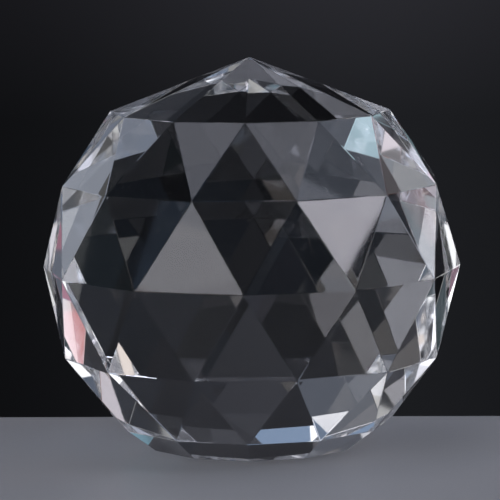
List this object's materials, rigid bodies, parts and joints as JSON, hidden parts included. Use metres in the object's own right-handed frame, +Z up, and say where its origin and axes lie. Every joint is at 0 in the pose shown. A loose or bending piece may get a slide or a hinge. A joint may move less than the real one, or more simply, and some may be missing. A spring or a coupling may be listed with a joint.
{
  "type": "faceted crystal ball",
  "caption": "Solid ball of clear crystal glass with triangular facets in level rows and a flat base, made to stand in the light and break it into sparkles.",
  "frame": {"origin": "centre of the flat base, at the underside", "axes": "+Z up along the ball's axis to its top point; -Y towards the front, where a corner of the widest row of facets lies"},
  "size_m": [0.05, 0.05, 0.0463],
  "materials": {
    "crystal": "polished, clear and colourless, with sharp facet edges"
  },
  "bodies": {
    "root": {"crystal_ball": "crystal"}
  },
  "joints": []
}
